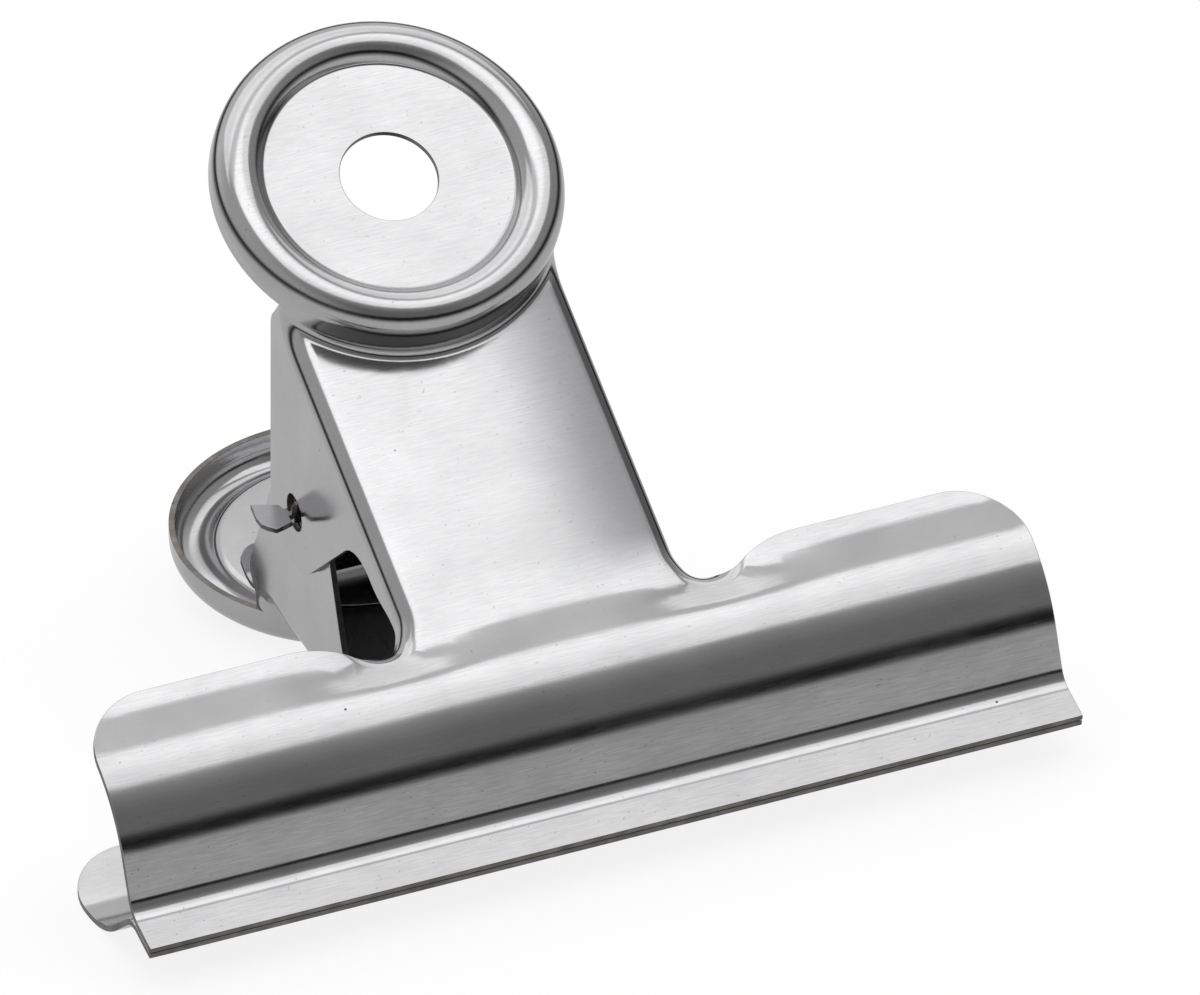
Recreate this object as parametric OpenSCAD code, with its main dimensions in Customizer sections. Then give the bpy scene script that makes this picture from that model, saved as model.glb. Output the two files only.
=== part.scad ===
// Round headed bulldog clip, three inch size, lying on a table on its rear arm.
// Millimetres. X runs along the jaws and the hinge, +Y from the jaws to the discs, +Z up.
// Each arm is drawn in its own frame with the origin on the hinge axis: +Y runs along the
// flat of the neck towards the disc and +Z away from the middle plane of the clip. The
// clip frame turns it by the neck angle, and the rear arm is the same stamping mirrored.

/* [Sheet] */
// Thickness of the plated steel sheet of both arms
sheet = 0.5; // [0.4:0.05:0.6]
// Clearance left on either side of the middle plane where the two lips meet
lip_gap = 0.05; // [0.02:0.01:0.1]

/* [Jaw] */
// Length of the jaws along the hinge direction
jaw_length = 76; // [70:1:90]
// Distance from the hinge axis to the front edge of the lips
jaw_reach = 37.9; // [36.5:0.1:39]
// Length of the flat part of the lip
lip_length = 2.65; // [2:0.05:3]
// Inner radius of the bend between the lip and the sloping face
lip_bend_radius = 2; // [1.6:0.1:2.4]
// Angle of the sloping face above the lip, degrees
lip_angle = 55; // [53:1:57]
// Outer radius of the rounded belly of the jaw
belly_radius = 10; // [8:0.5:10.5]
// Angle turned through at the belly, degrees
belly_angle = 48; // [46:1:50]
// Length of the flat shoulder behind the belly
shoulder_length = 2.5; // [2:0.1:3.5]
// Radius of the slight bend where the shoulder meets the neck
root_radius = 10; // [6:0.5:14]
// Angle turned through at that bend, degrees
root_angle = 7; // [6:1:8]
// Distance from the hinge axis to the back edge of the jaw wings, along the neck
wing_reach = 17.6; // [17:0.1:18.2]
// Radius of the outer corners of the wings
wing_corner_radius = 5.5; // [3:0.5:8]
// Radius of the relief notch beside the neck
notch_radius = 3; // [2.5:0.1:3.4]
// Depth of the relief notch below the back edge of the wing
notch_depth = 1.9; // [1.5:0.1:2.2]
// Radius of the rise from the notch to the back edge of the wing
notch_rise_radius = 9; // [7:0.5:10]

/* [Neck and ears] */
// Distance from the hinge axis to the outer face of the neck
neck_height = 13.7; // [13.2:0.1:14.2]
// Width over the folded ears of the front arm
neck_width = 22.4; // [21.4:0.2:24]
// Outer radius of the fold between the neck and an ear
fold_radius = 1.1; // [0.9:0.1:1.4]
// Clearance between a front ear and the rear ear inside it
ear_gap = 0.1; // [0.06:0.01:0.2]
// Radius of the round lobe of an ear about the hinge
lobe_radius = 4.8; // [4.2:0.1:5.2]
// Radius of the hinge hole in an ear
hinge_hole_radius = 1.5; // [1.4:0.05:1.8]
// Distance from the hinge to the disc end of an ear, along the neck
ear_tip_reach = 11; // [10.4:0.1:11.4]
// Depth of that corner of the ear below the outer face of the neck
ear_tip_drop = 1.8; // [1.6:0.1:2.4]
// Length over which that corner is rounded off
ear_tip_round = 0.6; // [0.3:0.1:0.7]
// Distance from the hinge to the middle of the round window beside the ear, along the neck
window_reach = 11.6; // [11.2:0.1:12]
// Depth of the middle of that window below the outer face of the neck
window_drop = 7.8; // [7.5:0.1:8.2]
// Radius of that window
window_radius = 4.3; // [4:0.1:4.5]
// Radius of the rounded jaw end of the side flange above the window
flange_end_radius = 2.4; // [1:0.1:2.6]

/* [Disc] */
// Distance from the hinge axis to the disc centre, along the neck
disc_distance = 17.5; // [17:0.1:18]
// Radius of the hole in the disc
disc_hole_radius = 3.8; // [3:0.1:4.5]
// Radius of the middle line of the raised ring
ring_centre_radius = 11.6; // [11:0.1:12]
// Outer radius of the rolled section of the ring
ring_section_radius = 2; // [1.7:0.1:2.2]
// Height of the centre of the rolled section above the neck
ring_centre_height = 2.45; // [2.2:0.05:2.8]
// Height of the flat middle of the disc above the neck
disc_flat_height = 3.2; // [2.9:0.05:3.5]
// Height of the free edge of the skirt above the neck
skirt_edge_height = 1.4; // [1:0.1:1.8]
// Radius of the fillet between the skirt and the neck
skirt_fillet_radius = 1.2; // [0.8:0.1:1.5]

/* [Spring] */
// Thickness of the spring strip
spring_thickness = 0.42; // [0.35:0.01:0.5]
// Clearance between the spring strip and a rear ear
spring_side_gap = 0.4; // [0.2:0.1:1.6]
// Middle radius of the bend of the strip at the hinge
spring_bend_radius = 5; // [3:0.5:8]
// Length of the foot of the spring that lies on the rear disc
spring_foot_length = 4.2; // [3.6:0.1:6]
// Radius of the rounded corners of that foot
spring_foot_corner = 1.5; // [1:0.1:1.8]
// Distance of the front tip of the strip from the disc centre
spring_tip_distance = 5; // [4.8:0.1:6]
// Clearance between the strip and the disc that it presses on
spring_clearance = 0.1; // [0.05:0.01:0.2]
// Width of the tongue that passes through the hinge holes
tongue_width = 2; // [1.6:0.1:2.3]
// Reach of the tongue beyond the front ears before the head
tongue_reach = 0.35; // [0.2:0.05:0.6]
// Radius of the twisted root of the head
tongue_root_radius = 0.55; // [0.4:0.05:0.7]
// Width of the locking head
head_width = 3.1; // [2.6:0.05:3.3]
// Length of the locking head beyond the tongue
head_length = 2.1; // [1.6:0.1:2.4]
// Size of the bevelled outer corners of the locking head
head_bevel = 0.7; // [0.4:0.05:0.9]
// Angle of the locking head to the middle plane, degrees
head_angle = 18; // [0:1:30]

/* [Hidden] */
// Overrun of cutting shapes past the faces they cut
overrun = 1;
// Segments of true curves
$fn = 96;
half = 1 / 2;
// Flats in each bend of a bent strip
bend_steps = 16;
// Flats in each rounded corner of a cut outline
arc_steps = 16;

// A run is a strip bent out of flat stock. Each step is [length, turn angle, middle radius]
// and a place on it is [y, z, heading].
function left_of(p, off) = [p[0] - off * sin(p[2]), p[1] + off * cos(p[2])];
function ahead(p, d) = [p[0] + d * cos(p[2]), p[1] + d * sin(p[2]), p[2]];
function turned(p, s, share) = let (
        g = sign(s[1]),
        c = left_of(p, g * s[2]),
        b = p[2] + s[1] * share
    ) [c[0] + g * s[2] * sin(b), c[1] - g * s[2] * cos(b), b];
function advance(p, s) = turned(ahead(p, s[0]), s, 1);
function place(run, p, n) = n == 0 ? p : advance(place(run, p, n - 1), run[n - 1]);
function step_side(p, s, off) = s[1] == 0
    ? [left_of(p, off), left_of(ahead(p, s[0]), off)]
    : [left_of(p, off), for (i = [0 : bend_steps]) left_of(turned(ahead(p, s[0]), s, i / bend_steps), off)];
function run_side(run, p, off) = [for (n = [0 : len(run) - 1]) each step_side(place(run, p, n), run[n], off)];
function arc(c, r, a, b) = [for (i = [0 : arc_steps]) let (t = a + (b - a) * i / arc_steps) c + r * [cos(t), sin(t)]];
function mirrored(list) = [for (p = list) [-p[0], p[1]]];
// Rounded corner at c between the directions of a and b, starting len away from c
function corner(a, c, b, len) = let (
        p = c + len * (a - c) / norm(a - c),
        q = c + len * (b - c) / norm(b - c)
    ) [for (i = [0 : bend_steps * half]) let (t = i / (bend_steps * half)) (1 - t) * (1 - t) * p + 2 * t * (1 - t) * c + t * t * q];
function backwards(list) = [for (i = [len(list) - 1 : -1 : 0]) list[i]];

// The strip of each arm, from the lip edge to the disc, in the frame of the arm
neck_angle = lip_angle - belly_angle + root_angle;
lip_middle = lip_gap + sheet * half;
lip_edge = [
    lip_middle * sin(neck_angle) - jaw_reach * cos(neck_angle),
    lip_middle * cos(neck_angle) + jaw_reach * sin(neck_angle),
    -neck_angle
];
lip_step = [lip_length, lip_angle, lip_bend_radius + sheet * half];
belly_middle_radius = belly_radius - sheet * half;
shoulder_step = [shoulder_length, root_angle, root_radius];
// The sloping face is as long as brings the neck to its height over the hinge
face_start = place([lip_step], lip_edge, 1);
flat_end = place([[0, -belly_angle, belly_middle_radius], shoulder_step], face_start, 2);
face_length = (neck_height - sheet * half - flat_end[1]) / sin(lip_angle - neck_angle);
neck_start = ahead(face_start, face_length)[0] + flat_end[0] - face_start[0];
neck_step = [disc_distance - ring_centre_radius - neck_start, 0, 0];
arm_run = [lip_step, [face_length, -belly_angle, belly_middle_radius], shoulder_step, neck_step];
skirt_radius = ring_centre_radius + ring_section_radius;
root_circle_radius = skirt_radius + skirt_fillet_radius;
// The notch beside the neck is tangent to the folded side of the neck
notch_x = neck_width * half + notch_radius;
notch_y = -wing_reach - notch_depth + notch_radius;
rear_width = neck_width - 2 * (sheet + ear_gap);
spring_width = rear_width - 2 * (sheet + spring_side_gap);
head_plane_x = neck_width * half + tongue_reach;

// Resting pose: the ring and the belly of the rear arm both touch the table
belly_centre = left_of(ahead(face_start, face_length), -belly_middle_radius);
ring_centre_z = neck_height + ring_centre_height;
contact_run = [disc_distance - ring_centre_radius - belly_centre[0], ring_centre_z - belly_centre[1]];
contact_angle = atan2(contact_run[1], contact_run[0]) - asin((belly_radius - ring_section_radius) / norm(contact_run));
rest_tilt = neck_angle + contact_angle;
rest_height = ring_section_radius + ring_centre_z * cos(contact_angle)
    - (disc_distance - ring_centre_radius) * sin(contact_angle);
// The middle of the depth of the lying clip stands over the origin
lip_front = jaw_reach * cos(rest_tilt) + (lip_gap + sheet) * sin(rest_tilt);
ring_back = (disc_distance + ring_centre_radius) * cos(contact_angle)
    + ring_centre_z * sin(contact_angle) + ring_section_radius;
rest_shift = (lip_front - ring_back) * half;

// Helpers
module clip_frame() translate([0, rest_shift, rest_height]) rotate([rest_tilt, 0, 0]) children();
module arm_frame() rotate([neck_angle, 0, 0]) children();
module disc_frame() translate([0, disc_distance, neck_height]) children();
module across(width) rotate([90, 0, 90]) translate([0, 0, -width * half]) linear_extrude(width) children();
module both_sides() {
    children();
    mirror([1, 0, 0]) children();
}
// Side view of a bent strip
module strip(run, start, thick) polygon(concat(
    run_side(run, start, thick * half),
    backwards(run_side(run, start, -thick * half))
));

// Plan of the jaw and the flat of the neck, with rounded wings and relief notches
module arm_plan(width) {
    half_jaw = jaw_length * half;
    front = -jaw_reach - overrun;
    notch = [notch_x, notch_y];
    corner = [half_jaw - wing_corner_radius, -wing_reach - wing_corner_radius];
    rise_y = -wing_reach - notch_rise_radius;
    rise = [notch_x + sqrt(pow(notch_radius + notch_rise_radius, 2) - pow(notch_y - rise_y, 2)), rise_y];
    to_notch = atan2(notch[1] - rise[1], notch[0] - rise[0]);
    edge = concat(
        [[half_jaw, front]],
        arc(corner, wing_corner_radius, 0, 90),
        arc(rise, notch_rise_radius, 90, to_notch),
        arc(notch, notch_radius, to_notch - 180, -180),
        [[width * half, notch_y]],
        [[width * half - fold_radius, notch_y], [width * half - fold_radius, disc_distance - ring_centre_radius]]
    );
    polygon(concat(edge, backwards(mirrored(edge))));
}

// Side view of an ear, from the fold down to the lobe, with the window beside it
module ear_side() {
    window_height = neck_height - window_drop;
    tip = [ear_tip_reach, neck_height - ear_tip_drop];
    touch_angle = atan2(tip[1], tip[0]) - acos(lobe_radius / norm(tip));
    window = [-window_reach, window_height];
    window_touch = atan2(window[1], window[0]) + acos((lobe_radius + window_radius) / norm(window));
    end_corner = [notch_y, window_height + window_radius] + flange_end_radius * [1, 1];
    tip_from = [ear_tip_reach - sheet, neck_height - fold_radius];
    lobe_touch = lobe_radius * [cos(touch_angle), sin(touch_angle)];
    difference() {
        polygon(concat(
            [[notch_y, neck_height + sheet], [ear_tip_reach - sheet, neck_height + sheet], tip_from],
            corner(tip_from, tip, lobe_touch, ear_tip_round),
            arc([0, 0], lobe_radius, touch_angle, window_touch - 360),
            arc(window, window_radius, window_touch - 180, 90),
            arc(end_corner, flange_end_radius, 270, 180)
        ));
        circle(hinge_hole_radius);
    }
}

// Side view of the cheek that carries an ear up into the skirt of the disc
module cheek_side(width) {
    function on_ring(r) = disc_distance - sqrt(pow(r, 2) - pow(width * half, 2));
    inset = sheet * half;
    polygon([
        [on_ring(root_circle_radius), neck_height - fold_radius - inset],
        [on_ring(root_circle_radius), neck_height - inset],
        [on_ring(skirt_radius), neck_height + skirt_fillet_radius * half * half],
        [on_ring(skirt_radius) + inset, neck_height + skirt_fillet_radius],
        [on_ring(skirt_radius) + inset, neck_height + ring_centre_height - inset],
        [on_ring(skirt_radius) + sheet, neck_height + ring_centre_height - inset],
        [ear_tip_reach - sheet, neck_height - fold_radius],
        [ear_tip_reach - sheet, neck_height - fold_radius - inset]
    ]);
}

// Cross-section of the two folded ears, looking along the neck
module ear_section(width, drop) {
    inner = fold_radius - sheet;
    both_sides() {
        translate([width * half - sheet, neck_height - drop]) square([sheet, drop - fold_radius]);
        translate([width * half - fold_radius, neck_height - fold_radius]) intersection() {
            difference() {
                circle(fold_radius);
                circle(inner);
            }
            square(fold_radius);
        }
    }
}

// Dished thumb disc: a flat middle inside a rolled ring with a skirt
module disc_profile() {
    c = [ring_centre_radius, ring_centre_height];
    inner = ring_section_radius - sheet;
    low = disc_flat_height - sheet;
    flat_reach = ring_centre_radius - sqrt(pow(inner, 2) - pow(low - ring_centre_height, 2));
    translate([disc_hole_radius, low]) square([flat_reach - disc_hole_radius, sheet]);
    intersection() {
        translate(c) difference() {
            circle(ring_section_radius);
            circle(inner);
        }
        union() {
            translate([ring_centre_radius - ring_section_radius, low]) square([ring_section_radius, ring_section_radius * 2]);
            translate(c) square(ring_section_radius * 2);
        }
    }
    translate([skirt_radius - sheet, skirt_edge_height]) square([sheet, ring_centre_height - skirt_edge_height]);
}
module root_profile() {
    translate([skirt_radius - sheet, skirt_fillet_radius]) square([sheet, ring_centre_height - skirt_fillet_radius]);
    translate([root_circle_radius, skirt_fillet_radius]) intersection() {
        difference() {
            circle(skirt_fillet_radius + sheet);
            circle(skirt_fillet_radius);
        }
        translate([-skirt_fillet_radius - sheet, -skirt_fillet_radius - sheet]) square(skirt_fillet_radius + sheet);
    }
}

// One stamped arm
module arm(width) {
    drop = neck_height + lobe_radius + overrun;
    difference() {
        union() {
            // Jaw, shoulder and the flat of the neck, one run of sheet
            intersection() {
                across(jaw_length) strip(arm_run, lip_edge, sheet);
                linear_extrude(neck_height + overrun) arm_plan(width);
            }
            // Ears with their folds
            intersection() {
                rotate([90, 0, 0]) translate([0, 0, -drop]) linear_extrude(2 * drop) ear_section(width, drop);
                across(width + overrun) ear_side();
            }
        }
        // The flat stops at the foot of the fillet
        intersection() {
            disc_frame() translate([0, 0, -fold_radius - overrun])
                cylinder(r = root_circle_radius, h = fold_radius + 2 * overrun);
            translate([sheet - width * half, 0, neck_height - fold_radius - overrun])
                cube([width - 2 * sheet, disc_distance, fold_radius + 2 * overrun]);
        }
    }
    // Disc, its fillet into the neck between the ears, and the cheeks
    disc_frame() {
        rotate_extrude() disc_profile();
        intersection() {
            rotate_extrude() root_profile();
            translate([-width * half, -root_circle_radius - overrun, -sheet - overrun])
                cube([width, root_circle_radius, ring_centre_height + sheet + overrun]);
        }
    }
    both_sides() translate([width * half - sheet, 0, 0]) rotate([90, 0, 90]) linear_extrude(sheet) cheek_side(width);
}

// Spring strip: tip under the front disc, bend at the hinge, foot on the rear disc
foot_height = neck_height + disc_flat_height - sheet - spring_clearance - spring_thickness * half;
function in_clip(p) = [
    p[0] * cos(neck_angle) - p[1] * sin(neck_angle),
    p[0] * sin(neck_angle) + p[1] * cos(neck_angle)
];
spring_tip = in_clip([disc_distance - spring_tip_distance, foot_height]);
tip_from_bend = [spring_tip[0] - spring_bend_radius, spring_tip[1]];
touch_bearing = atan2(tip_from_bend[1], tip_from_bend[0]) + acos(spring_bend_radius / norm(tip_from_bend));
leg_length = sqrt(pow(norm(tip_from_bend), 2) - pow(spring_bend_radius, 2));
leg_heading = touch_bearing + 90;
foot_turn = neck_angle - 180 + leg_heading;
foot_bend_radius = spring_bend_radius * half;
foot_trim = foot_bend_radius * tan(abs(foot_turn) * half);
spring_run = [
    [leg_length, 2 * (180 - touch_bearing), spring_bend_radius],
    [leg_length - foot_trim, foot_turn, foot_bend_radius],
    [spring_foot_length - foot_trim, 0, 0]
];

spring_start = [spring_tip[0], spring_tip[1], leg_heading];
// The foot is trimmed square to the middle plane, just short of the end of the run
foot_end = place(spring_run, spring_start, 3)[0] - spring_thickness * half;

// Plan of the spring strip, with the rounded corners of the foot
module spring_plan() {
    half_width = spring_width * half;
    centre = [half_width - spring_foot_corner, foot_end - spring_foot_corner];
    side = concat([[half_width, -spring_bend_radius]], arc(centre, spring_foot_corner, 0, 90));
    polygon(concat(side, backwards(mirrored(side))));
}

// Plan of a locking head, with its outer corners bevelled
module head_plan() {
    side = [[0, head_width * half], [head_length - head_bevel, head_width * half], [head_length, head_width * half - head_bevel]];
    polygon(concat(side, backwards([for (p = side) [p[0], -p[1]]])));
}

module rear_arm() {
    color("silver") clip_frame() mirror([0, 0, 1]) arm_frame() arm(rear_width);
}

module front_arm() {
    color("gainsboro") clip_frame() arm_frame() arm(neck_width);
}

module leaf_spring() {
    color("slategray") clip_frame() {
        intersection() {
            across(spring_width + overrun) strip(spring_run, spring_start, spring_thickness);
            translate([0, 0, -neck_height * 2]) linear_extrude(neck_height * 4) spring_plan();
        }
        both_sides() {
            translate([spring_width * half - overrun, -spring_thickness * half, -tongue_width * half])
                cube([head_plane_x + overrun - spring_width * half, spring_thickness, tongue_width]);
            translate([neck_width * half, 0, 0]) rotate([0, 90, 0])
                cylinder(r = tongue_root_radius, h = 2 * tongue_reach);
            translate([head_plane_x, 0, 0]) rotate([-head_angle, 0, 0])
                translate([0, 0, -spring_thickness * half]) linear_extrude(spring_thickness) head_plan();
        }
    }
}

rear_arm();
front_arm();
leaf_spring();
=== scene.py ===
import math
import bmesh
import bpy
from mathutils import Matrix, Vector
from mathutils.geometry import delaunay_2d_cdt


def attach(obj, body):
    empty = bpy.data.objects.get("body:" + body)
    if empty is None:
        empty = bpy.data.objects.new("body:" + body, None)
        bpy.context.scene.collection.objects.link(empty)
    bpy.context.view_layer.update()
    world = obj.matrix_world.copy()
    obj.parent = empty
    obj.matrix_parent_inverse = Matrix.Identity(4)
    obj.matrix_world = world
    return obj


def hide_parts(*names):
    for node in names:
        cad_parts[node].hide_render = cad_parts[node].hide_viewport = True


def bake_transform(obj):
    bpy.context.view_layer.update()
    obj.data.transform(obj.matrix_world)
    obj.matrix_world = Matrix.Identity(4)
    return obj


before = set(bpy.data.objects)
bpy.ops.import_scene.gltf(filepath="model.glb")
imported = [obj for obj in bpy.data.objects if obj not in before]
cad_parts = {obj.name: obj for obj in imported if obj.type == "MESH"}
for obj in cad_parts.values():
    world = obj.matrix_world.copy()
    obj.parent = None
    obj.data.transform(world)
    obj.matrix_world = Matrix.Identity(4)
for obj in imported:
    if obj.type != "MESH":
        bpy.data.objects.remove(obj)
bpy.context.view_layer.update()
scene = bpy.context.scene

mm = 0.001
deg = math.pi / 180

# how the clip lies, as in the part's source (mm and degrees)
pose = {
    "tilt": 21.6892,     # middle plane of the clip against the table
    "shift": 1.21041,    # hinge axis, along Y
    "height": 17.2154,   # hinge axis, above the table
    "neckAngle": 14.0,   # flat of a neck against the middle plane
}


def linearColour(hexText, alpha=1.0):
    parts = [int(hexText[i:i + 2], 16) / 255 for i in (1, 3, 5)]
    return tuple(p / 12.92 if p <= 0.04045 else ((p + 0.055) / 1.055) ** 2.4 for p in parts) + (alpha,)


def addNode(tree, kind, settings=None, inputs=None):
    node = tree.nodes.new(kind)
    for key, value in (settings or {}).items():
        setattr(node, key, value)
    for key, value in (inputs or {}).items():
        if isinstance(value, bpy.types.NodeSocket):
            tree.links.new(value, node.inputs[key])
        else:
            node.inputs[key].default_value = value
    return node


def addMath(tree, operation, first, second, clamp=False):
    settings = {"operation": operation, "use_clamp": clamp}
    return addNode(tree, "ShaderNodeMath", settings, {0: first, 1: second}).outputs["Value"]


def addRange(tree, value, low, high, toLow=0.0, toHigh=1.0, kind="LINEAR"):
    inputs = {"Value": value, "From Min": low, "From Max": high, "To Min": toLow, "To Max": toHigh}
    return addNode(tree, "ShaderNodeMapRange", {"interpolation_type": kind}, inputs).outputs["Result"]


def platedMetal(name, look):
    material = bpy.data.materials.new(name)
    material.use_nodes = True
    tree = material.node_tree
    shader = tree.nodes["Principled BSDF"]
    shader.inputs["Metallic"].default_value = 1.0
    place = addNode(tree, "ShaderNodeTexCoord").outputs["Object"]

    def noise(size, detail, stretch=(1, 1, 1), rough=0.5, source=place):
        fitted = addNode(tree, "ShaderNodeMapping", None, {"Vector": source, "Scale": stretch}).outputs["Vector"]
        inputs = {"Vector": fitted, "Scale": 1 / (size * mm), "Detail": detail, "Roughness": rough}
        return addNode(tree, "ShaderNodeTexNoise", None, inputs).outputs["Fac"]

    def blendTone(factor, first, second):
        return addNode(tree, "ShaderNodeMix", {"data_type": "RGBA"}, {0: factor, 6: first, 7: second}).outputs[2]

    def bump(height, strength, depth, under=None):
        inputs = {"Height": height, "Strength": strength, "Distance": depth * mm}
        if under is not None:
            inputs["Normal"] = under
        return addNode(tree, "ShaderNodeBump", None, inputs).outputs["Normal"]

    # the plating goes on slightly uneven, in clouds a few millimetres wide
    clouds = addRange(tree, noise(look["cloudSize"], 4.0), 0.3, 0.7)
    tone = blendTone(clouds, linearColour(look["tone"]), linearColour(look["paleTone"]))
    # rolling grain of the strip, drawn out along the jaws, shows as fine streaks
    grain = noise(look["grainSize"], 3.0, look["grainStretch"], 0.6)
    streak = addRange(tree, grain, 0.35, 0.65, 0.0, look["grainDepth"])
    tone = blendTone(streak, tone, linearColour(look["grainTone"]))
    # pin holes in the plating show as dark specks
    cell = addNode(tree, "ShaderNodeTexVoronoi", {"feature": "F1"},
                   {"Vector": place, "Scale": 1 / (look["speckSpacing"] * mm), "Randomness": 1.0})
    pick = addNode(tree, "ShaderNodeSeparateColor", None, {"Color": cell.outputs["Color"]}).outputs["Red"]
    near = addRange(tree, cell.outputs["Distance"], look["speckSize"] / 2, look["speckSize"], 1.0, 0.0)
    chosen = addRange(tree, pick, look["speckShare"], look["speckShare"] + 0.01, 1.0, 0.0)
    tone = blendTone(addMath(tree, "MULTIPLY", near, chosen), tone, linearColour(look["speckTone"]))
    # hair scratches from the drawer
    scratch = 0.0
    for angle, size, stretch in look["scratches"]:
        turned = addNode(tree, "ShaderNodeMapping", None, {"Vector": place, "Rotation": look["scratchTilt"] + (angle,)})
        line = noise(size, 0.0, (stretch, 1.0, 1.0), source=turned.outputs["Vector"])
        scratch = addMath(tree, "MAXIMUM", scratch, addRange(tree, line, 0.83, 0.88))
    tone = blendTone(addMath(tree, "MULTIPLY", scratch, look["scratchDepth"]), tone, linearColour(look["speckTone"]))
    # painted shade: one side of the front neck is darkened in its colour, standing in for a dimmer reflection there
    spot = addNode(tree, "ShaderNodeSeparateXYZ", None, {"Vector": place})
    paintedShade = look["paintedShadeDepth"]
    for axis, low, high in look["paintedShadeEdges"]:
        paintedShade = addMath(tree, "MULTIPLY", paintedShade, addRange(tree, spot.outputs[axis], low * mm, high * mm, kind="SMOOTHSTEP"))
    tone = blendTone(paintedShade, tone, linearColour(look["paintedShadeTone"]))
    tree.links.new(tone, shader.inputs["Base Color"])
    # handled spots are a little duller
    dull = addRange(tree, noise(look["cloudSize"] * look["dullSpread"], 3.0), 0.35, 0.75, look["roughLow"], look["roughHigh"])
    streak = addRange(tree, grain, 0.3, 0.7, -look["grainRough"], look["grainRough"])
    tree.links.new(addMath(tree, "ADD", dull, streak, clamp=True), shader.inputs["Roughness"])
    # press waviness of the sheet, then the grain and the scratches on top of it
    wave = bump(noise(look["waveSize"], 1.0), 1.0, look["waveDepth"])
    fine = bump(grain, 1.0, look["grainRelief"], wave)
    tree.links.new(bump(scratch, 0.5, -look["scratchRelief"], fine), shader.inputs["Normal"])
    return material


# nickel plated on rolled strip: a soft mirror, streaked along the jaws, with a few dark pin holes (sizes in mm)
plateLook = {
    "tone": "#b4b4b5", "paleTone": "#bebebf", "cloudSize": 5.0,
    "grainTone": "#a6a6a8", "grainSize": 0.11, "grainStretch": (0.06, 1.0, 1.0),
    "grainDepth": 0.3, "grainRelief": 0.00016, "grainRough": 0.03,
    "speckTone": "#4e4c4a", "speckSpacing": 2.3, "speckSize": 0.06, "speckShare": 0.12,
    # turn about Z, size across and stretch of each set of scratches
    "scratches": ((0.5, 0.16, 0.03), (-0.9, 0.2, 0.05), (1.9, 0.18, 0.04)),
    "scratchTilt": (0.35, 0.2), "scratchDepth": 0.3, "scratchRelief": 0.004,
    "roughLow": 0.13, "roughHigh": 0.19, "dullSpread": 2.3,
    "waveSize": 14.0, "waveDepth": 0.01,
    # where the painted shade begins and is full, in the lying clip
    "paintedShadeEdges": (("X", 0.5, 10.0), ("X", 13.0, 11.0), ("Y", -22.5, -18.5), ("Y", 2.5, -1.0),
                  ("Z", 16.0, 18.5), ("Z", 33.5, 32.0)),
    # painted shade: the dark grey that side of the neck is blended towards, and how strongly
    "paintedShadeTone": "#5d5d5f", "paintedShadeDepth": 0.75,
}
# spring strip is harder steel and takes the plating greyer and duller than the arms
springLook = dict(plateLook, tone="#a4a4a6", paleTone="#b0b0b2", grainTone="#949498", roughLow=0.2, roughHigh=0.3)
# where the sheet was sheared through, bare steel shows: a dark warm grey, torn and dull
edgeLook = dict(plateLook, tone="#6b6865", paleTone="#8b8884", grainTone="#54514e",
                cloudSize=1.2, roughLow=0.38, roughHigh=0.55, waveSize=0.5)
plateFinish = platedMetal("nickelPlateRolled", plateLook)
springFinish = platedMetal("springSteelNickelled", springLook)
cutFinish = platedMetal("steelShearedBare", edgeLook)
print("materials made")


# sheet metal: a middle surface first, then its thickness with rounded cut edges
def smooth(t):
    t = min(1.0, max(0.0, t))
    return t * t * (3 - 2 * t)


weld = 0.004      # mm, points closer than this are one
slant = 0.7071    # share of the edge's rounding at 45 degrees


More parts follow.
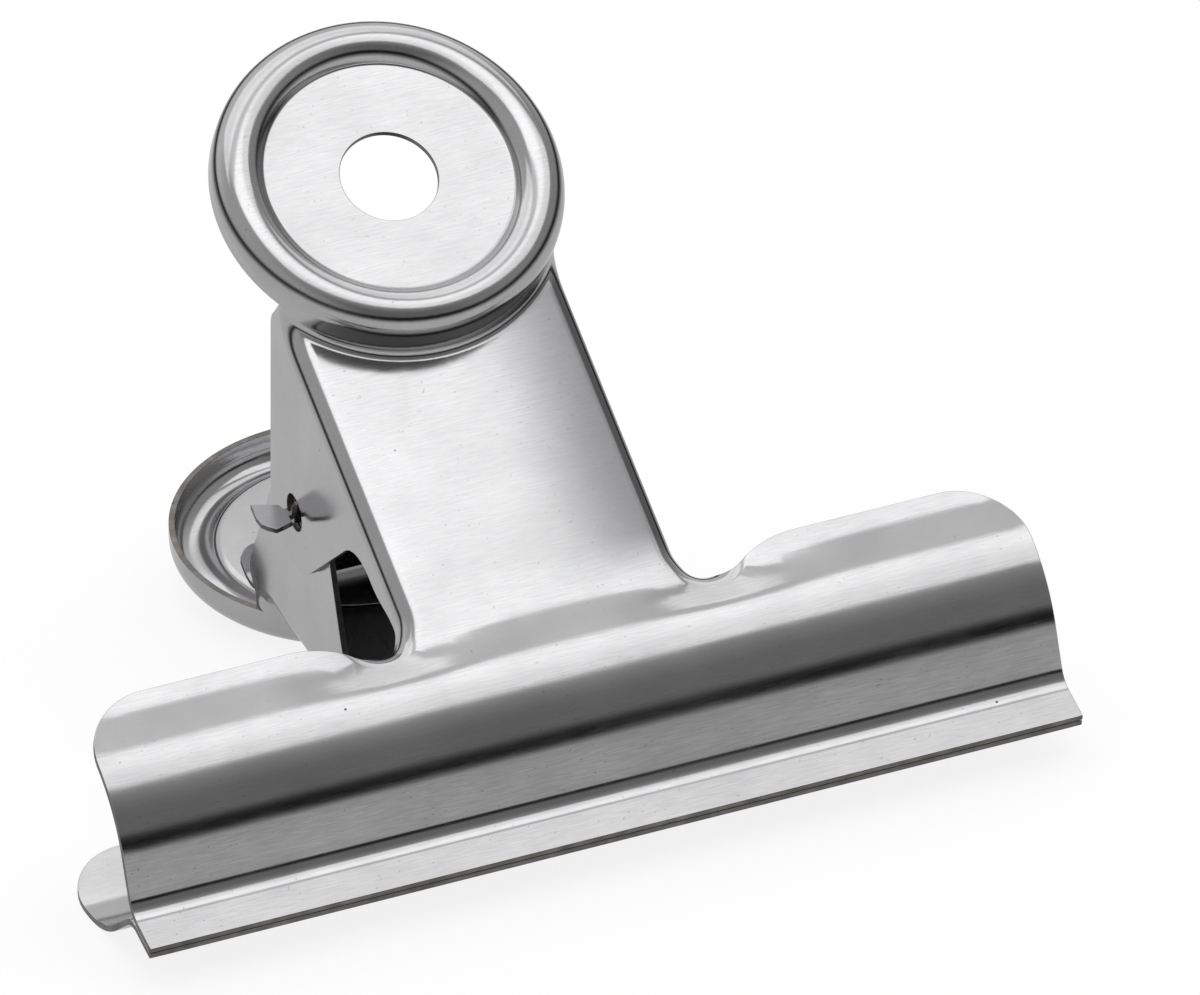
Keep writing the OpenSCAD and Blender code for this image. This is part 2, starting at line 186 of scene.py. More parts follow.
def thicken(verts, faces, thick, edgeRound):
    # verts in mm; returns points, their normals, faces and which faces are the cut edge
    bm = bmesh.new()
    made = [bm.verts.new(p) for p in verts]
    for face in faces:
        corners = [made[i] for i in face]
        if len(set(corners)) > 2 and not bm.faces.get(corners):
            bm.faces.new(corners)
    bmesh.ops.remove_doubles(bm, verts=bm.verts, dist=weld)
    loose = [v for v in bm.verts if not v.link_faces]
    bmesh.ops.delete(bm, geom=loose, context="VERTS")
    bm.verts.index_update()
    bm.faces.index_update()
    points = [v.co.copy() for v in bm.verts]
    normals = [Vector() for p in points]
    for face in bm.faces:
        push = face.normal * face.calc_area()
        for v in face.verts:
            normals[v.index] += push
    normals = [n.normalized() for n in normals]
    rim = {}
    for edge in bm.edges:
        if len(edge.link_faces) == 1:
            loop = edge.link_loops[0]
            a, b = loop.vert.index, loop.link_loop_next.vert.index
            out = (points[b] - points[a]).cross(normals[a] + normals[b]).normalized()
            for i in (a, b):
                rim.setdefault(i, Vector())
                rim[i] += out
    half, e = thick / 2, edgeRound
    outer = [p + n * half for p, n in zip(points, normals)]
    inner = [p - n * half for p, n in zip(points, normals)]
    newPoints = outer + inner
    newNormals = normals + [-n for n in normals]
    newFaces, isCut = [], []
    count = len(points)
    for face in bm.faces:
        ring = [v.index for v in face.verts]
        newFaces.append(ring)
        newFaces.append([i + count for i in reversed(ring)])
        isCut += [0, 0]
    inset = (1 - slant) * e
    steps = ((slant * e, half - inset), (e, half - e), (e, e - half), (slant * e, inset - half))
    rings = {}
    for i, out in rim.items():
        out = (out - normals[i] * out.dot(normals[i])).normalized()
        first = len(newPoints)
        newPoints += [points[i] + out * along + normals[i] * up for along, up in steps]
        newNormals += [(out + normals[i]).normalized(), out, out, (out - normals[i]).normalized()]
        rings[i] = [i] + list(range(first, first + 4)) + [i + count]
    for edge in bm.edges:
        if len(edge.link_faces) == 1:
            loop = edge.link_loops[0]
            a, b = rings[loop.vert.index], rings[loop.link_loop_next.vert.index]
            for k in range(5):
                newFaces.append([b[k], a[k], a[k + 1], b[k + 1]])
                isCut.append(1 if k in (1, 2, 3) else 0)
    bm.free()
    return newPoints, newNormals, newFaces, isCut


def flatFill(loop, inner, hole=None):
    # fills a flat outline with triangles through the points of inner
    coords = [Vector(p) for p in loop]
    count = len(coords)
    edges = [(i, (i + 1) % count) for i in range(count)]
    if hole:
        first = len(coords)
        coords += [Vector(p) for p in hole]
        edges += [(first + i, first + (i + 1) % len(hole)) for i in range(len(hole))]
    coords += [Vector(p) for p in inner]
    found = delaunay_2d_cdt(coords, edges, [], 1, 1e-6)
    triangles = [list(face) for face in found[2]]
    if hole:
        centre = sum((Vector(p) for p in hole), Vector((0, 0))) / len(hole)
        reach = min((Vector(p) - centre).length for p in hole)
        middles = [sum((found[0][i] for i in t), Vector((0, 0))) / 3 for t in triangles]
        triangles = [t for t, middle in zip(triangles, middles) if (middle - centre).length > reach * 0.98]
    return [tuple(p) for p in found[0]], triangles


def makeMesh(name, points, normals, faces, isCut, finishes, matrix):
    mesh = bpy.data.meshes.new(name)
    if matrix.determinant() < 0:
        faces = [face[::-1] for face in faces]
    mesh.from_pydata([matrix @ (Vector(p) * mm) for p in points], [], faces)
    for finish in finishes:
        mesh.materials.append(finish)
    mesh.polygons.foreach_set("material_index", isCut)
    mesh.polygons.foreach_set("use_smooth", [True] * len(faces))
    mesh.update()
    # the sheet's own normals, so that the edges don't bleed into the flats
    turn = matrix.to_3x3()
    mesh.normals_split_custom_set_from_vertices([turn @ n for n in normals])
    piece = bpy.data.objects.new(name, mesh)
    scene.collection.objects.link(piece)
    return piece


# one stamped arm, in its own frame: hinge axis at the origin, +Y to the disc, +Z outward (mm, degrees)
arm = {
    "sheet": 0.5, "edgeRound": 0.07,
    "frontWidth": 22.4, "rearWidth": 21.2,   # over the ears
    "halfJaw": 38.0, "lipStart": (-36.7016, 9.45993), "neckZ": 13.45,
    # from the lip to the neck: length, turn and radius of each bend, rows in the flat and in the bend
    "run": ((2.65, 55, 2.25, 4, 12), (3.36311, -48, 9.75, 4, 22), (2.5, 7, 10.0, 3, 4)),
    "wingReach": 17.6, "wingCorner": 5.5,
    "notchRadius": 3.0, "notchDepth": 1.9, "riseRadius": 9.0,
    "fold": 1.6, "notchFold": 2.3, "foldSteps": 10,
    # how far the flange dies out round the notch, its depth at the neck and where that ends
    "stretch": 8.4, "stretchDrop": 0.9, "stretchEnd": 6.5,
    "lobe": 4.8, "hingeHole": 1.5,
    "tip": (11.0, 11.9), "tipRound": 0.9,
    "endEdge": ((0.18, 13.9), (10.62, 12.9)),     # edge under the disc: step and height at its top, and its foot
    "window": (-11.6, 5.9), "windowRadius": 4.3,
    "crown": 0.3, "crownFrom": -17.5, "crownRise": 8.0, "crownFade": 12.0,    # height, and where it comes and goes
    "dip": 0.36, "dipAt": (13.5, -20.2), "dipReach": (5.0, 1.4),              # depth, place, reach across and along
}
disc = {
    "centreY": 17.5, "base": 13.7,
    "hole": 3.8, "flat": 2.95, "dishRound": 0.5,
    "ring": 11.6, "ringHeight": 2.45, "ringRadius": 1.75,
    "skirt": 13.35, "skirtEdge": 1.4,
    "root": 14.35, "rootHeight": 0.75, "rootRadius": 1.0,
    "columns": 120, "rootColumns": 24, "rootSteps": 8,
}
# points of the net inside the flats: spacing, and how far they keep from the outline (mm)
net = {
    "across": 1.2667, "columns": 29, "along": 0.9, "rows": 39, "ear": 1.3,
    "clear": 0.3, "cornerClear": 0.4, "notchClear": 0.35, "discClear": 0.35,
    "notchNear": 2.2, "edgeBand": 6.0,
    "outlineGap": 0.2, "earGap": 0.3,        # squared
}
hair = 0.001     # mm, so that every rib ends in a step of its own


def runTable():
    y, z = arm["lipStart"]
    heading = -pose["neckAngle"] * deg
    rows = [(0.0, y, z, heading)]
    s = 0.0
    for length, turn, radius, flats, bends in arm["run"]:
        for i in range(1, flats + 1):
            d = length * i / flats
            rows.append((s + d, y + d * math.cos(heading), z + d * math.sin(heading), heading))
        s += length
        y, z = y + length * math.cos(heading), z + length * math.sin(heading)
        g = 1 if turn > 0 else -1
        cy, cz = y - g * radius * math.sin(heading), z + g * radius * math.cos(heading)
        for i in range(1, bends + 1):
            h = heading + turn * deg * i / bends
            along = s + radius * abs(turn) * deg * i / bends
            rows.append((along, cy + g * radius * math.sin(h), cz - g * radius * math.cos(h), h))
        s, y, z, heading = rows[-1]
    return rows


rows = runTable()


def onRun(s):
    # place and heading at length s along the strip, exact on the bends
    if s >= rows[-1][0]:
        return rows[-1][1] + s - rows[-1][0], rows[-1][2], rows[-1][3]
    k = max(i for i in range(len(rows)) if rows[i][0] <= s + 1e-9)
    a, b = rows[k], rows[min(k + 1, len(rows) - 1)]
    t = (s - a[0]) / max(1e-9, b[0] - a[0])
    turn = b[3] - a[3]
    if abs(turn) < 1e-9:
        return a[1] + t * (b[1] - a[1]), a[2] + t * (b[2] - a[2]), a[3]
    radius = (b[0] - a[0]) / turn
    h = a[3] + turn * t
    cy, cz = a[1] - radius * math.sin(a[3]), a[2] + radius * math.cos(a[3])
    return cy + radius * math.sin(h), cz - radius * math.cos(h), h


def lengthAt(y):
    low, high = 0.0, 80.0
    for i in range(40):
        mid = (low + high) / 2
        low, high = (mid, high) if onRun(mid)[0] < y else (low, mid)
    return (low + high) / 2


def arcPoints(centre, radius, start, end, steps):
    turn = [start + (end - start) * i / steps for i in range(steps + 1)]
    return [(centre[0] + radius * math.cos(t * deg), centre[1] + radius * math.sin(t * deg)) for t in turn]


def notchPath(halfWidth):
    # plan of the edge from the folded side round the notch and up the rise: point, way out, length so far
    cx, cy = halfWidth + arm["notchRadius"], -arm["wingReach"] - arm["notchDepth"] + arm["notchRadius"]
    ry = -arm["wingReach"] - arm["riseRadius"]
    rx = cx + math.sqrt((arm["notchRadius"] + arm["riseRadius"]) ** 2 - (cy - ry) ** 2)
    meet = math.degrees(math.atan2(cy - ry, cx - rx))
    path = []
    notchSteps, riseSteps = 30, 18
    radius = arm["notchRadius"]
    for i in range(notchSteps + 1):
        t = (180 + meet * i / notchSteps) * deg
        path.append((cx + radius * math.cos(t), cy + radius * math.sin(t), -math.cos(t), -math.sin(t), radius * (t - math.pi)))
    length, radius = path[-1][4], arm["riseRadius"]
    for i in range(1, riseSteps + 1):
        t = (meet + (90 - meet) * i / riseSteps) * deg
        turned = length + radius * (meet * deg - t)
        path.append((rx + radius * math.cos(t), ry + radius * math.sin(t), math.cos(t), math.sin(t), turned))
    return path, (rx, ry)


def rib(start, normal, way, turn, radius, steps, extra=0.0):
    # one line over a fold: from start, bent by turn about radius, and straight on by extra
    bends = [turn * k / steps for k in range(steps + 1)]
    points = [start + radius * (math.sin(b) * way - (1 - math.cos(b)) * normal) for b in bends]
    if extra:
        points.append(points[-1] + extra * (math.cos(turn) * way - math.sin(turn) * normal))
    return points


def rootRow(j, radius, sideX):
    # one row of the fillet between neck and skirt: radius, height, outward normal parts, half angle it spans
    if j <= disc["rootSteps"]:
        psi = 90 * deg * j / disc["rootSteps"]
        nr, nh = math.sin(psi), math.cos(psi)
        r, h = disc["root"] - disc["rootRadius"] * nr, disc["rootHeight"] - disc["rootRadius"] * nh
    else:
        r, h, nr, nh = disc["skirt"], disc["skirtEdge"], 1.0, 0.0
    edgeX = (sideX - radius) / (1 - radius * nr / r)
    return r, h, nr, nh, math.asin(edgeX / r)


def armSheet(width):
    # middle surface of a whole arm; every patch ends on points of the next one, which are merged later
    verts, faces = [], []
    thick = arm["sheet"]
    side = width / 2 - thick / 2             # middle of the ear
    foldMid = arm["fold"] - thick / 2
    foldX = side - foldMid
    e = arm["edgeRound"]
    path, riseCentre = notchPath(width / 2)

    def grid(block, flip):
        first = len(verts)
        for line in block:
            verts.extend(line)
        n = len(block[0])
        for i in range(len(block) - 1):
            for k in range(n - 1):
                low = first + i * n + k
                quad = [low, low + 1, low + n + 1, low + n]
                faces.append(quad[::-1] if flip else quad)

    def crown(x, y):
        # the neck is pressed slightly round between its folds
        if abs(x) >= foldX:
            return 0.0
        return arm["crown"] * (1 - (x / foldX) ** 2) * smooth((y - arm["crownFrom"]) / arm["crownRise"])

    def dip(x, y):
        # the bend of the neck is drawn in round each notch
        across = (abs(x) - arm["dipAt"][0]) / arm["dipReach"][0]
        along = (y - arm["dipAt"][1]) / arm["dipReach"][1]
        return arm["dip"] * math.exp(-across * across - along * along)

    # where the fold starts round the notch
    starts = []
    for x, y, wx, wy, q in path:
        fade = smooth(q / arm["stretch"])
        turn = 90 * deg * (1 - fade)
        outerRadius = arm["fold"] + (arm["notchFold"] - arm["fold"]) * fade
        gap = outerRadius * math.sin(turn) + e * math.cos(turn)
        drop = arm["stretchDrop"] * (1 - smooth(q / arm["stretchEnd"]))
        starts.append((x - wx * gap, y - wy * gap, wx, wy, turn, outerRadius - thick / 2, drop))
    rootRows = [rootRow(j, foldMid, side) for j in range(disc["rootSteps"] + 2)]
    r0, span0 = rootRows[0][0], rootRows[0][4]
    footY = disc["centreY"] - r0 * math.cos(span0)
    sideSteps = 34
    sideYs = [starts[0][1] + (footY - starts[0][1]) * i / sideSteps for i in range(sideSteps + 1)]

    # outline of the flat sheet, in width and run length
    topColumns = disc["rootColumns"]
    lipColumns, cornerSteps, wingSteps = 30, 14, 8
    wing = arm["wingReach"] + e
    corner = (arm["halfJaw"] - arm["wingCorner"], -arm["wingReach"] - arm["wingCorner"])
    rightSide = [(arm["halfJaw"] - e, row[0]) for row in rows if row[1] < corner[1] - 0.2]
    back = [(x, lengthAt(y)) for x, y in arcPoints(corner, arm["wingCorner"] - e, 0, 90, cornerSteps)]
    back += [(corner[0] + (riseCentre[0] - corner[0]) * i / wingSteps, lengthAt(-wing)) for i in range(1, wingSteps)]
    back += [(x, lengthAt(y)) for x, y, *more in reversed(starts)]
    back += [(foldX, lengthAt(y)) for y in sideYs[1:]]
    lip = [(arm["halfJaw"] * i / lipColumns, e) for i in range(1, lipColumns)]
    right = lip + [(arm["halfJaw"] - e, e)] + rightSide[1:] + back
    top = [(r0 * math.sin(f * span0), lengthAt(disc["centreY"] - r0 * math.cos(f * span0)))
           for f in [1 - 2 * i / topColumns for i in range(1, topColumns)]]
    outline = [(0.0, e)] + right + top + [(-x, s) for x, s in reversed(right)]
    outlineVectors = [Vector(p) for p in outline]
    backS = lengthAt(-arm["wingReach"])
    clear = net["clear"]

    def isInside(x, y, s):
        # whether a point of the net lies on the sheet, clear of its outline
        offset = abs(x)
        if s <= clear:
            return False
        if s >= backS and (offset >= foldX - clear or math.hypot(x, disc["centreY"] - y) <= r0 + net["discClear"]):
            return False
        if s <= backS - net["edgeBand"]:
            return True
        if min((Vector((x, s)) - p).length_squared for p in outlineVectors) <= net["outlineGap"]:
            return False
        if s >= backS or offset <= foldX - clear:
            return True
        # inside the back edge of the wing, clear of the notch and its rise
        if offset > corner[0]:
            return math.hypot(offset - corner[0], y - corner[1]) < arm["wingCorner"] - net["cornerClear"]
        if y >= -wing - clear:
            return False
        return offset > riseCentre[0] or not any(
            (offset - px) * wx + (y - py) * wy > -net["notchClear"] and math.hypot(offset - px, y - py) < net["notchNear"]
            for px, py, wx, wy, *more in starts)

    columns = range(-net["columns"], net["columns"] + 1)
    rowLengths = [row[0] for row in rows[1:]] + [rows[-1][0] + net["along"] * i for i in range(1, net["rows"] + 1)]
    inner = [(i * net["across"], s) for s in rowLengths for i in columns if isInside(i * net["across"], onRun(s)[0], s)]
    flat, triangles = flatFill(outline, inner)
    first = len(verts)
    for x, s in flat:
        y, z, h = onRun(s)
        lift = crown(x, y) * smooth((math.hypot(x, disc["centreY"] - y) - r0) / arm["crownFade"])
        verts.append(Vector((x, y, z + lift - dip(x, y))))
    faces.extend([[first + i for i in t] for t in triangles])

    for sign in (1, -1):
        def flipX(points):
            return [Vector((sign * p[0], p[1], p[2])) for p in points]
        # stretched flange round the notch, then the fold along the neck and up the fillet of the disc
        ribs = []
        for x, y, wx, wy, turn, radius, drop in reversed(starts):
            py, pz, h = onRun(lengthAt(y))
            normal = Vector((0, -math.sin(h), math.cos(h)))
            way = Vector((wx, wy * math.cos(h), wy * math.sin(h)))
            ribs.append(rib(Vector((x, py, pz - dip(x, py))), normal, way, turn, radius, arm["foldSteps"], drop + hair))
        grid([flipX(line) for line in ribs], sign < 0)
        upward, outward = Vector((0, 0, 1)), Vector((1, 0, 0))
        ribs = [rib(Vector((foldX, y, arm["neckZ"])), upward, outward, 90 * deg, foldMid, arm["foldSteps"]) for y in sideYs]
        for r, h, nr, nh, span in rootRows[1:]:
            start = Vector((r * math.sin(span), disc["centreY"] - r * math.cos(span), disc["base"] + h))
            normal = Vector((nr * math.sin(span), -nr * math.cos(span), nh))
            way = outward - normal * normal.x
            ribs.append(rib(start, normal, way.normalized(), math.acos(normal.x), foldMid, arm["foldSteps"]))
        grid([flipX(line) for line in ribs], sign < 0)
        # the ear: its top edge is the end of the fold
        earTop = [(line[-1].y, line[-1].z) for line in ribs]
        flangeZ = earTop[0][1] - arm["stretchDrop"] - hair
        windowY, windowZ = arm["window"]
        windowR = arm["windowRadius"] + e
        lobeR = arm["lobe"] - e
        flangeLow = windowZ + windowR
        lowEdge = []
        for f in [i / 14 for i in range(1, 14)]:
            rise = smooth((f - 0.15) / 0.85)
            lowEdge.append((windowY + (earTop[0][0] - windowY) * f, flangeLow + (flangeZ - flangeLow) * rise))
        touch = (math.atan2(windowZ, windowY) + math.acos((lobeR + windowR) / math.hypot(windowY, windowZ))) / deg
        windowStart = touch - 180      # the slanting edge touches lobe and window
        tipY, tipZ = arm["tip"]
        lean = math.degrees(math.atan2(tipZ, tipY)) - math.degrees(math.acos(lobeR / math.hypot(tipY, tipZ)))
        (endStep, endTop), endFoot = arm["endEdge"]
        wayOut = Vector((math.sin(lean * deg), -math.cos(lean * deg)))     # along the slanting edge, towards the lobe
        cornerPoint = Vector((tipY, tipZ))
        a = cornerPoint + (Vector(endFoot) - cornerPoint).normalized() * arm["tipRound"]
        b = cornerPoint + wayOut * arm["tipRound"]
        tipArc = [tuple((1 - f) ** 2 * a + 2 * f * (1 - f) * cornerPoint + f * f * b) for f in [i / 6 for i in range(7)]]
        ear = [(earTop[0][0], flangeZ)] + earTop + [(earTop[-1][0] + endStep, endTop)] + tipArc
        ear += arcPoints((0, 0), lobeR, lean, touch - 360, 44)
        ear += arcPoints((windowY, windowZ), windowR, windowStart, 90, 30)
        ear += lowEdge
        hole = arcPoints((0, 0), arm["hingeHole"] + e, 0, 360, 28)[:-1]
        # denser points keep the shading of the plane even
        spots = [(y * net["ear"], z * net["ear"]) for y in range(-12, 9) for z in range(-3, 11)]
        earVectors = [Vector(p) for p in ear + hole]
        spots = [p for p in spots if min((Vector(p) - q).length_squared for q in earVectors) > net["earGap"]]
        flat, triangles = flatFill(ear, spots, hole)
        first = len(verts)
        verts.extend([Vector((sign * side, y, z)) for y, z in flat])
        faces.extend([[first + i for i in (t if sign > 0 else t[::-1])] for t in triangles])

    # fillet between neck and skirt
    def onDisc(r, h, t):
        return Vector((r * math.sin(t), disc["centreY"] - r * math.cos(t), disc["base"] + h))
    shares = [2 * i / topColumns - 1 for i in range(topColumns + 1)]
    grid([[onDisc(r, h, f * span) for f in shares] for r, h, nr, nh, span in rootRows], False)

    # the dished disc, turned about its centre
    dish, ringC = disc["dishRound"], (disc["ring"], disc["ringHeight"])
    dishX = disc["ring"] - math.sqrt((disc["ringRadius"] + dish) ** 2 - (disc["flat"] + dish - disc["ringHeight"]) ** 2)
    meetAngle = math.degrees(math.atan2(disc["flat"] + dish - ringC[1], dishX - ringC[0]))
    profile = [(disc["hole"] + e + (dishX - disc["hole"] - e) * i / 5, disc["flat"]) for i in range(5)]
    profile += arcPoints((dishX, disc["flat"] + dish), dish, -90, meetAngle - 180, 6)
    profile += arcPoints(ringC, disc["ringRadius"], meetAngle, 0, 22)[1:]
    profile += [(disc["skirt"], disc["skirtEdge"])]
    span = rootRows[-1][4]
    angles = [span * f for f in shares[:-1]]
    rest = disc["columns"] - topColumns
    angles += [span + (2 * math.pi - 2 * span) * i / rest for i in range(rest + 1)]
    block = [[onDisc(r, h, t) for t in angles] for r, h in profile]
    for line in block:
        line[-1] = line[0].copy()
    grid(block, True)
    return verts, faces


def clipMatrix(front):
    turn = Matrix.Rotation(pose["tilt"] * deg, 4, "X")
    place = Matrix.Translation(Vector((0, pose["shift"], pose["height"])) * mm) @ turn
    if not front:
        place = place @ Matrix.Scale(-1, 4, Vector((0, 0, 1)))
    return place @ Matrix.Rotation(pose["neckAngle"] * deg, 4, "X")


def makeArm(name, node, body, width, front):
    verts, faces = armSheet(width)
    points, normals, newFaces, isCut = thicken(verts, faces, arm["sheet"], arm["edgeRound"])
    piece = makeMesh(name, points, normals, newFaces, isCut, (plateFinish, cutFinish), clipMatrix(front))
    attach(piece, body)
    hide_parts(node)
    print(name, len(points), "points")


makeArm("frontArmSheet", "front_arm", "front", arm["frontWidth"], True)
makeArm("rearArmSheet", "rear_arm", "rear", arm["rearWidth"], False)

# the leaf spring, in the clip's frame: +Y to the discs, +Z to the front arm (mm, degrees)
leaf = {
    "thick": 0.42, "edgeRound": 0.06, "halfWidth": 9.7,
    "start": (8.23617, 18.6361, 244.821),
    "run": ((18.2422, 50.358, 5.0, 12, 16), (16.1879, 78.821, 2.5, 12, 18), (2.0, 0, 1.0, 5, 0)),    # as the arm's
    "tipCorner": 1.5, "footCorner": 1.5, "cornerRows": 5,
    "across": 16,
    "tongue": 2.0, "root": 1.1, "tongueRows": (8.9, 10.0, 10.75),
    # locking head: distance outside the front ear, then its lower and upper edge across; bent by hand, so lopsided
    "head": ((0.66, -0.5, 0.5), (0.8, -1.25, 1.45), (1.5, -1.6, 1.7),
             (2.2, -1.95, 1.9), (2.65, -2.15, 1.3), (2.95, -0.3, 0.75)),
    "twistFrom": 11.15, "twistTo": 11.6, "headAngle": 18,
    "blendReach": 4.0,       # either side of the hinge, over which the strip passes from one arm to the other
}


def leafRows():
    y, z, heading = leaf["start"]
    heading *= deg
    found, s = [(0.0, y, z)], 0.0
    for length, turn, radius, flats, bends in leaf["run"]:
        for i in range(1, flats + 1):
            d = length * i / flats
            found.append((s + d, y + d * math.cos(heading), z + d * math.sin(heading)))
        s, y, z = s + length, y + length * math.cos(heading), z + length * math.sin(heading)
        cy, cz = y - radius * math.sin(heading), z + radius * math.cos(heading)
        for i in range(1, bends + 1):
            h = heading + turn * deg * i / bends
            found.append((s + radius * (h - heading), cy + radius * math.sin(h), cz - radius * math.cos(h)))
        if bends:
            s, y, z = found[-1]
            heading += turn * deg
    return found


def insetAt(distance, radius):
    return 0.0 if distance >= radius else radius - math.sqrt(radius ** 2 - (radius - distance) ** 2)


def leafSheet():
    verts, faces = [], []
    found = leafRows()
    total = found[-1][0]
    closer = []     # rows where the corners are rounded
    for k in range(1, leaf["cornerRows"] + 1):
        share = 0.6 * (1 - math.cos(k / (leaf["cornerRows"] + 1) * math.pi / 2))
        closer += [leaf["tipCorner"] * share, total - leaf["footCorner"] * share]
    table = []
    for s in sorted([row[0] for row in found] + closer):
        k = max(i for i in range(len(found)) if found[i][0] <= s + 1e-9)
        a, b = found[k], found[min(k + 1, len(found) - 1)]
        u = 0 if a is b else (s - a[0]) / (b[0] - a[0])
        place = (a[1] + u * (b[1] - a[1]), a[2] + u * (b[2] - a[2]))
        if table and abs(s - table[-1][0]) < 0.02:
            continue
        table.append((s,) + place)
    e = leaf["edgeRound"]
    n = leaf["across"] + 1
    for s, y, z in table:
        half = leaf["halfWidth"] - e - max(insetAt(s + 0.02, leaf["tipCorner"]), insetAt(total - s + 0.02, leaf["footCorner"]))
        verts += [Vector((half * (2 * i / (n - 1) - 1), y, z)) for i in range(n)]
    for j in range(len(table) - 1):
        for i in range(n - 1):
            faces.append([j * n + i, j * n + i + 1, (j + 1) * n + i + 1, (j + 1) * n + i])
    # a tongue at each side: flat through the holes, twisted just outside them, then the locking head
    twist = [leaf["twistFrom"] + (leaf["twistTo"] - leaf["twistFrom"]) * i / 8 for i in range(9)]
    headPlaces = [(arm["frontWidth"] / 2 + out, low, high) for out, low, high in leaf["head"]]
    stations = list(leaf["tongueRows"]) + twist + [place[0] for place in headPlaces]
    points = 5      # across the tongue
    for sign in (1, -1):
        first = len(verts)
        for x in stations:
            t = (x - leaf["twistFrom"]) / (leaf["twistTo"] - leaf["twistFrom"])
            turn = (90 + (90 - leaf["headAngle"]) * smooth(t)) * deg
            if x < leaf["twistFrom"] - 0.1:
                low, high = -leaf["tongue"] / 2, leaf["tongue"] / 2
            elif x < headPlaces[0][0] - 0.01:
                high = (leaf["tongue"] + (leaf["root"] - leaf["tongue"]) * smooth(t * 2.5)) / 2
                low = -high
            else:
                low, high = [place[1:] for place in headPlaces if place[0] == x][0]
            for k in range(points):
                w = low + (high - low) * k / (points - 1)
                verts.append(Vector((sign * x, w * math.cos(turn), w * math.sin(turn))))
        for i in range(len(stations) - 1):
            for k in range(points - 1):
                corner = first + i * points + k
                faces.append([corner, corner + 1, corner + points + 1, corner + points])
    return verts, faces


def makeLeaf():
    verts, faces = leafSheet()
    points, normals, newFaces, isCut = thicken(verts, faces, leaf["thick"], leaf["edgeRound"])
    matrix = Matrix.Translation(Vector((0, pose["shift"], pose["height"])) * mm) @ Matrix.Rotation(pose["tilt"] * deg, 4, "X")
    piece = makeMesh("leafSpringStrip", points, normals, newFaces, isCut, (springFinish, cutFinish), matrix)
    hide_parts("leaf_spring")
    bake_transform(piece)


makeLeaf()
print("spring made")

# table and light
studio = {
    "floorSize": 4.0,       # m
    "floorTone": "#f4f4f4",
    "floorGlow": 0.8, "floorWhite": 1.05,   # share of the table that glows, and how strongly to the camera
    # painted light: how strongly the table glows in the metal's reflections, bright near the clip and dim far off, and
    # where the one fades into the other (m)
    "mirrored": (0.7, 0.14), "mirrorReach": (0.12, 0.5),
    # grey of the room by height above the horizon, in degrees
    "room": ((-90, 0.2), (-1, 0.2), (2, 0.01), (12, 0.01), (16, 0.2), (27, 0.19),
             (34, 0.2), (43, 0.3), (52, 0.42), (62, 0.52), (68, 0.9), (90, 1.0)),
    # greys of the walls by the axis that they face: left, right and behind the clip
    "walls": (("X", -1.0, 0.55), ("X", 1.0, 0.38), ("Y", 1.0, 0.82)),
    "wallEdge": (0.15, 0.75), "skirting": (0.1, 0.3),      # where they fade in sideways and from below
}
# softboxes: width and depth, place and power (m, W); the first one lies over the necks, the second behind the discs
softboxes = {
    "softboxFront": ((0.86, 0.41), (0.19, -0.235, 0.62), 1.12),
    "softboxBack": ((1.1, 0.54), (0.1, 0.36, 0.62), 1.35),
}


def makeFloor():
    half = studio["floorSize"] / 2
    mesh = bpy.data.meshes.new("table")
    mesh.from_pydata([(-half, -half, 0), (half, -half, 0), (half, half, 0), (-half, half, 0)], [], [(0, 1, 2, 3)])
    table = bpy.data.objects.new("table", mesh)
    scene.collection.objects.link(table)
    # matt white laminate; part of its white glows, so that the ground stays white round a soft shadow
    material = bpy.data.materials.new("laminateMattWhite")
    material.use_nodes = True
    tree = material.node_tree
    shader = tree.nodes["Principled BSDF"]
    shader.inputs["Base Color"].default_value = linearColour(studio["floorTone"])
    shader.inputs["Roughness"].default_value = 0.8
    shader.inputs["Specular IOR Level"].default_value = 0.1
    place = addNode(tree, "ShaderNodeTexCoord").outputs["Object"]
    # painted light: to reflections the table glows as a pool that fades with distance from the clip
    reach = addNode(tree, "ShaderNodeVectorMath", {"operation": "LENGTH"}, {0: place}).outputs["Value"]
    fade = addRange(tree, reach, *studio["mirrorReach"], *studio["mirrored"], "SMOOTHSTEP")
    path = addNode(tree, "ShaderNodeLightPath")
    toCamera = path.outputs["Is Camera Ray"]
    strength = addNode(tree, "ShaderNodeMix", {"data_type": "FLOAT"}, {0: toCamera, 2: fade, 3: studio["floorWhite"]})
    glow = addNode(tree, "ShaderNodeEmission", None, {"Color": (1, 1, 1, 1), "Strength": strength.outputs[0]})
    seen = addMath(tree, "MAXIMUM", toCamera, path.outputs["Is Glossy Ray"])
    share = addMath(tree, "MULTIPLY", seen, studio["floorGlow"])
    mix = addNode(tree, "ShaderNodeMixShader", None, {0: share, 1: shader.outputs["BSDF"], 2: glow.outputs["Emission"]})
    tree.links.new(mix.outputs["Shader"], tree.nodes["Material Output"].inputs["Surface"])
    mesh.materials.append(material)


def makeLamp(name, size, place, power):
    data = bpy.data.lights.new(name, "AREA")
    data.shape = "RECTANGLE"
    data.size, data.size_y = size
    data.energy = power
    lamp = bpy.data.objects.new(name, data)
    lamp.location = place
    scene.collection.objects.link(lamp)


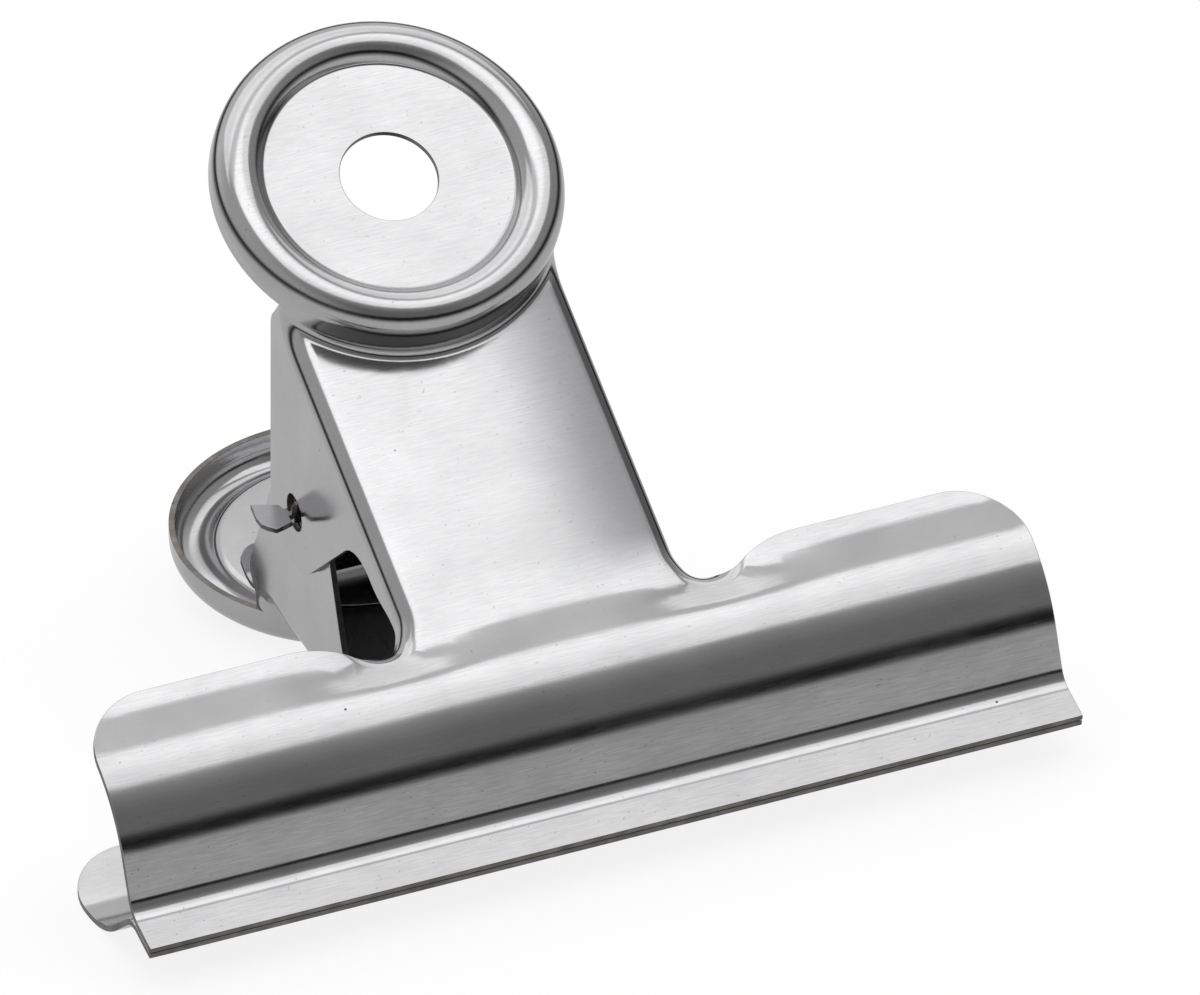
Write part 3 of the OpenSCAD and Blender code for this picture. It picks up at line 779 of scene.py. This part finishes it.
def makeRoom():
    # a dim room with a pale ceiling, grey by height
    world = bpy.data.worlds.new("studio")
    scene.world = world
    world.use_nodes = True
    tree = world.node_tree
    looking = addNode(tree, "ShaderNodeTexCoord").outputs["Generated"]
    way = addNode(tree, "ShaderNodeSeparateXYZ", None, {"Vector": looking})
    height = addNode(tree, "ShaderNodeMath", {"operation": "ARCSINE"}, {0: way.outputs["Z"]}).outputs["Value"]
    ramp = addNode(tree, "ShaderNodeValToRGB", None, {"Fac": addRange(tree, height, -math.pi / 2, math.pi / 2)})
    stops = studio["room"]
    while len(ramp.color_ramp.elements) < len(stops):
        ramp.color_ramp.elements.new(0.5)
    for element, (angle, grey) in zip(ramp.color_ramp.elements, stops):
        element.position = (angle + 90) / 180
        element.color = (grey, grey, grey, 1)
    # pale walls above a dark skirting
    above = addRange(tree, way.outputs["Z"], *studio["skirting"], kind="SMOOTHSTEP")
    shown = ramp.outputs["Color"]
    for axis, side, grey in studio["walls"]:
        facing = addMath(tree, "MULTIPLY", way.outputs[axis], side)
        share = addMath(tree, "MULTIPLY", addRange(tree, facing, *studio["wallEdge"], kind="SMOOTHSTEP"), above)
        mix = addNode(tree, "ShaderNodeMix", {"data_type": "RGBA"}, {0: share, 6: shown, 7: (grey, grey, grey, 1)})
        shown = mix.outputs[2]
    background = tree.nodes["Background"]
    tree.links.new(shown, background.inputs["Color"])
    background.inputs["Strength"].default_value = 1.0


makeFloor()
for name, setting in softboxes.items():
    makeLamp(name, *setting)     # they hang level, facing the table
makeRoom()
print("table and lights set")

# camera: a long lens, turned with the clip about its hinge
view = {
    "azimuth": -22.79, "elevation": 35.94,   # degrees, for a clip tilted by fittedTilt
    "fittedTilt": 12.97,
    "distance": 2000.0,                      # mm
    "pixelsPerMm": 13.163, "pixels": 1200,   # at the hinge, in a frame of so many pixels across
    "right": 12.875, "up": -1.400,           # mm, centre of the frame against the hinge
    "sensor": 36.0,                          # mm
    "clip": (0.05, 50.0),                    # m
}


def makeCamera():
    az, el = view["azimuth"] * deg, view["elevation"] * deg
    back = Vector((math.sin(az) * math.cos(el), -math.cos(az) * math.cos(el), math.sin(el)))
    right = Vector((math.cos(az), math.sin(az), 0))
    up = back.cross(right)
    turn = Matrix.Rotation((pose["tilt"] - view["fittedTilt"]) * deg, 3, "X")
    back, right, up = turn @ back, turn @ right, turn @ up
    place = back * view["distance"] + right * view["right"] + up * view["up"]
    place += Vector((0, pose["shift"], pose["height"]))
    data = bpy.data.cameras.new("camera")
    data.sensor_width = view["sensor"]
    data.lens = view["pixelsPerMm"] * view["distance"] / view["pixels"] * view["sensor"]
    data.clip_start, data.clip_end = view["clip"]
    camera = bpy.data.objects.new("camera", data)
    camera.matrix_world = Matrix.Translation(place * mm) @ Matrix((right, up, back)).transposed().to_4x4()
    scene.collection.objects.link(camera)
    scene.camera = camera


makeCamera()
scene.view_settings.view_transform = "Standard"
print("camera placed")

bpy.context.view_layer.update()
